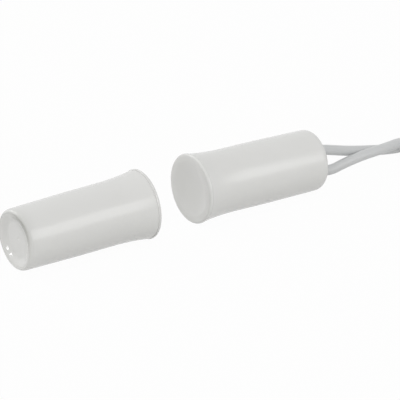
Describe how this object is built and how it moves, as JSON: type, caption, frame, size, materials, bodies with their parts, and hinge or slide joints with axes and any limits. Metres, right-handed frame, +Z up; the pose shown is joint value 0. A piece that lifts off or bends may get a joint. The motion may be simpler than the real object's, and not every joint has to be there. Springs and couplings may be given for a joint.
{
  "type": "recessed magnetic contact",
  "caption": "White recessed door contact: a potted reed switch with two leads tied in a hank, and a potted bar magnet, both in flanged press-fit plugs.",
  "frame": {"origin": "on the table, under the middle of the two housings' common box", "axes": "+X towards the switch half's leads, +Y to the rear side, +Z up from the table"},
  "size_m": [0.1175, 0.015, 0.0105],
  "materials": {
    "housing": "glossy moulded",
    "potting": "glossy poured",
    "insulation": "smooth satin",
    "strands": "tinned",
    "glass": "clear",
    "reed": "plated",
    "sleeve": "smooth",
    "solder": "satin",
    "tie": "smooth",
    "magnet": "ground"
  },
  "bodies": {
    "root": {"switch_housing": "housing", "magnet_housing": "housing", "switch_potting": "potting", "magnet_potting": "potting", "reed_glass": "glass", "reed_blade_front": "reed", "reed_blade_rear": "reed", "lead_sleeve": "sleeve", "solder_joint_front": "solder", "solder_joint_rear": "solder", "upper_wire_core": "strands", "lower_wire_core": "strands", "upper_wire": "insulation", "lower_wire": "insulation", "wire_hank": "insulation", "hank_tie": "tie", "upper_wire_bare_end": "strands", "lower_wire_bare_end": "strands", "bar_magnet": "magnet"}
  },
  "joints": []
}
